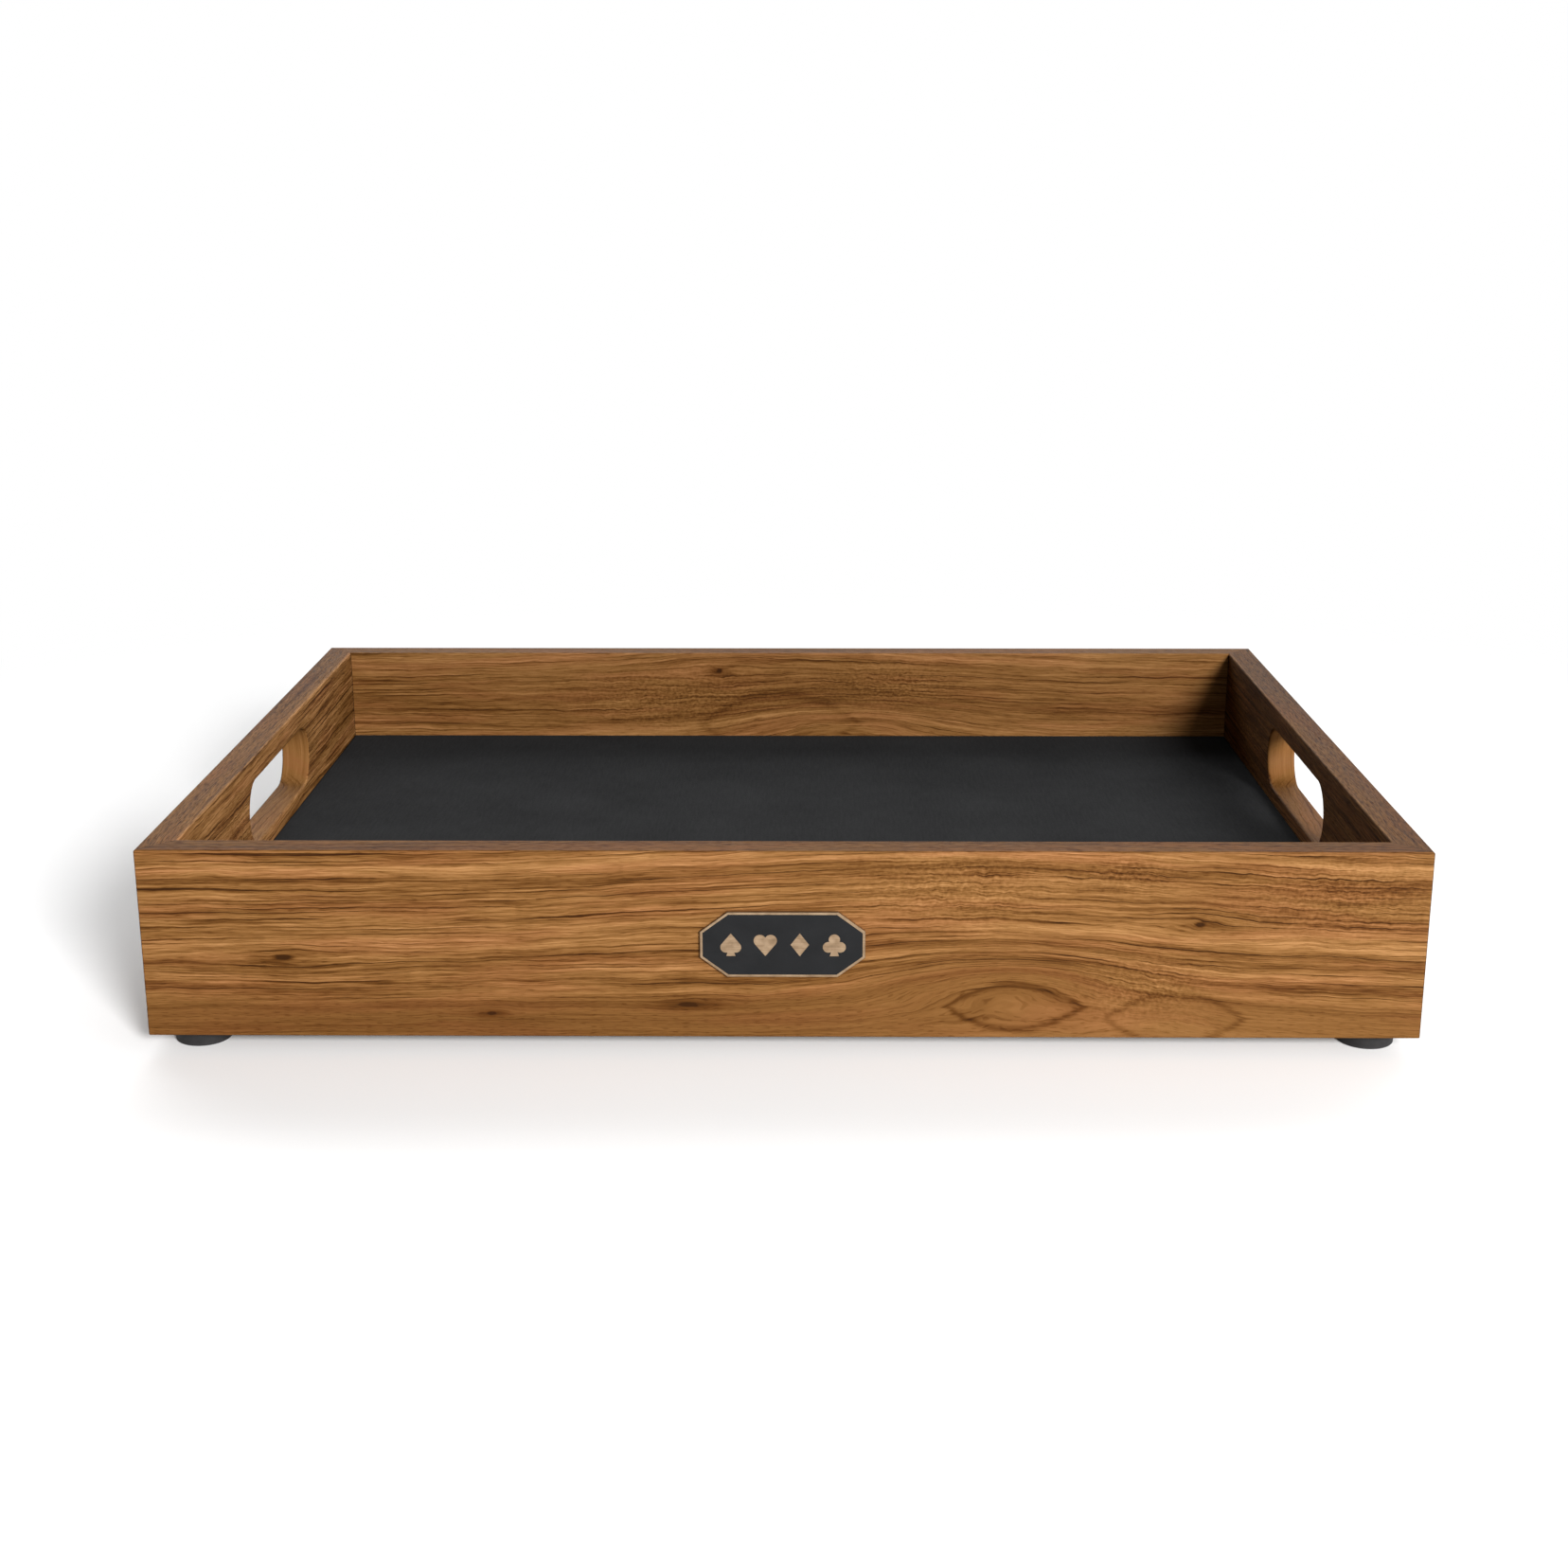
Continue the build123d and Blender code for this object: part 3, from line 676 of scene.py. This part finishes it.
def add_camera():
    data = bpy.data.cameras.new("camera")
    data.lens = CAMERA_LENS
    data.sensor_width = CAMERA_SENSOR
    camera = bpy.data.objects.new("camera", data)
    turn = Matrix.Rotation(CAMERA_LEFT, 4, "Z")
    tilt = Matrix.Rotation(math.pi / 2 - CAMERA_DOWN, 4, "X")
    roll = Matrix.Rotation(CAMERA_ROLL, 4, "Z")
    camera.matrix_world = Matrix.Translation(CAMERA_PLACE) @ turn @ tilt @ roll
    bpy.context.scene.collection.objects.link(camera)
    bpy.context.scene.camera = camera


def add_key_light():
    data = bpy.data.lights.new("key_softbox", "AREA")
    data.shape = "DISK"
    data.size = KEY_WIDTH
    data.energy = KEY_WATTS
    light = bpy.data.objects.new("key_softbox", data)
    light.location = KEY_PLACE
    away = Vector(KEY_PLACE) - Vector(KEY_AIM)
    light.rotation_euler = away.to_track_quat("Z", "Y").to_euler()
    bpy.context.scene.collection.objects.link(light)


def light_room():
    """The camera sees even white behind the tray; the tray sees the walls, strip and room."""
    world = bpy.data.worlds.new("studio")
    world.use_nodes = True
    bpy.context.scene.world = world
    paint = Paint(world.node_tree)
    right, back, up = paint.split(paint.node("TexCoord", output="Generated"))
    strip = paint.step(up, *STRIP_LOW) * paint.step(up, *STRIP_HIGH)
    behind = paint.step(back, *WALL_SPREAD)
    beside = paint.step(right, *WALL_SPREAD)
    ahead = paint.step(back * -1.0, *WALL_SPREAD)
    light = ROOM_LIGHT + (behind + beside) * WALL_LIGHT + behind * strip * STRIP_LIGHT
    light = light + ahead * strip * FRONT_LIGHT
    seen = paint.node("LightPath", output="Is Camera Ray")
    strength = seen + (1.0 - seen) * light
    background = world.node_tree.nodes["Background"]
    paint.give(background.inputs["Color"], (1.0, 1.0, 1.0))
    paint.give(background.inputs["Strength"], strength)


def floor_material():
    """White paper near the tray that fades into an even white further out."""
    material = bpy.data.materials.new("studio_paper")
    material.use_nodes = True
    tree = material.node_tree
    tree.nodes.clear()
    paint = Paint(tree)
    x, y = paint.split(paint.node("TexCoord", output="Object"))[:2]
    distance = (x * x + y * y).power(0.5)
    far = paint.step(distance, FLOOR_FADE_START, FLOOR_FADE_END)
    fibres = paint.noise(x * FLOOR_FIBRES, y * FLOOR_FIBRES, 0.0)
    white = paint.ramp(fibres, ((0.3, (FLOOR_ALBEDO - 0.01,) * 3), (0.7, (FLOOR_ALBEDO,) * 3)))
    paper = paint.node("BsdfDiffuse", [("Color", white)])
    glow = paint.node("Emission", [("Strength", 1.0)])
    mixed = paint.node("MixShader", [(0, far), (1, paper), (2, glow)])
    output = tree.nodes.new("ShaderNodeOutputMaterial")
    tree.links.new(mixed.socket, output.inputs["Surface"])
    return material


def new_object(name, mesh, material):
    made = bpy.data.objects.new(name, mesh)
    bpy.context.scene.collection.objects.link(made)
    made.data.materials.append(material)
    return made


def add_floor():
    mesh = bpy.data.meshes.new("studio_floor")
    shape = bmesh.new()
    bmesh.ops.create_circle(shape, cap_ends=True, segments=FLOOR_STEPS, radius=FLOOR_RADIUS)
    shape.to_mesh(mesh)
    shape.free()
    floor = new_object("studio_floor", mesh, floor_material())
    floor.location.z = cad_low.z


# The lining: a sheet that lies on the panel, cut with a knife and rolled down a hair at its edges
LINING_GRID = 5 * MM
LINING_SWELL = 0.10 * MM
LINING_ROLL = 0.35 * MM
LINING_ROLL_WIDTH = 1.6 * MM
LINING_SWELLS_PER_M = 14.0
LINING_SEED = 0.7


def lining_places(low, high):
    """Grid lines from low to high, with close ones at each end for the rolled edge."""
    edge = [0.0, LINING_ROLL_WIDTH * 0.3, LINING_ROLL_WIDTH * 0.65, LINING_ROLL_WIDTH]
    inner_low = low + LINING_ROLL_WIDTH
    inner_high = high - LINING_ROLL_WIDTH
    count = round((inner_high - inner_low) / LINING_GRID)
    inner = [inner_low + (inner_high - inner_low) * step / count for step in range(1, count)]
    return [low + inset for inset in edge] + inner + [high - inset for inset in reversed(edge)]


def lining_height(x, y, low, high):
    """The height of the lining's top: gently uneven, and rolled down at the edges."""
    margin = min(x - low.x, high.x - x, y - low.y, high.y - y)
    off_edge = max(0.0, 1.0 - margin / LINING_ROLL_WIDTH)
    place = Vector((x * LINING_SWELLS_PER_M, y * LINING_SWELLS_PER_M, LINING_SEED))
    swell = LINING_SWELL * (0.5 + 0.5 * noise.noise(place))
    return high.z - LINING_ROLL * off_edge * off_edge - swell


def add_lining(material):
    """The floor lining, as a closed sheet in place of the plain CAD one."""
    low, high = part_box("base_lining")
    columns = lining_places(low.x, high.x)
    rows = lining_places(low.y, high.y)
    shape = bmesh.new()
    top = [[shape.verts.new((x, y, lining_height(x, y, low, high))) for x in columns] for y in rows]
    bottom = [[shape.verts.new((x, y, low.z)) for x in columns] for y in rows]
    for row in range(len(rows) - 1):
        for column in range(len(columns) - 1):
            here = (row, column), (row, column + 1), (row + 1, column + 1), (row + 1, column)
            shape.faces.new([top[r][c] for r, c in here])
            shape.faces.new([bottom[r][c] for r, c in reversed(here)])
    rim = [(0, c) for c in range(len(columns))]
    rim += [(r, len(columns) - 1) for r in range(1, len(rows))]
    rim += [(len(rows) - 1, c) for c in reversed(range(len(columns) - 1))]
    rim += [(r, 0) for r in reversed(range(1, len(rows) - 1))]
    for (r, c), (next_r, next_c) in zip(rim, rim[1:] + rim[:1]):
        shape.faces.new((bottom[r][c], bottom[next_r][next_c], top[next_r][next_c], top[r][c]))
    mesh = bpy.data.meshes.new("floor_lining")
    shape.to_mesh(mesh)
    shape.free()
    lining = new_object("floor_lining", mesh, material)
    for face in mesh.polygons:
        face.use_smooth = abs(face.normal.z) > 0.5
    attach(lining, "root")
    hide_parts("base_lining")


def dress(material, *nodes):
    """Gives a material to CAD nodes."""
    for name in nodes:
        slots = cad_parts[name].material_slots
        if not slots:
            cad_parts[name].data.materials.append(material)
        for slot in slots:
            slot.material = material


def at_corners(stem):
    return [f"{stem}_{side}_{end}" for side in ("front", "back") for end in ("left", "right")]


add_camera()
add_key_light()
light_room()
add_floor()
add_lining(leatherette())
dress(walnut("walnut_front", FRONT_FIGURE, grain_along_x=True), "front_board")
dress(walnut("walnut_back", BACK_FIGURE, grain_along_x=True), "back_board")
dress(walnut("walnut_left", LEFT_FIGURE, grain_along_x=False), "left_end_board")
dress(walnut("walnut_right", RIGHT_FIGURE, grain_along_x=False), "right_end_board")
dress(birch_plywood(), "base_panel")
dress(balancing_veneer(), "base_backing")
dress(hardwood(), *at_corners("corner_block"), *at_corners("mitre_spline"))
dress(rubber(), *at_corners("rubber_foot"))
dress(zinc_steel(), *at_corners("foot_washer"), *at_corners("foot_screw"), *at_corners("block_screws"))
dress(brass(), "badge_plate", "badge_pin_left", "badge_pin_right")
dress(enamel(), "badge_enamel")
dress(foam_tape(), "badge_tape")
bpy.context.scene.view_settings.view_transform = "Standard"
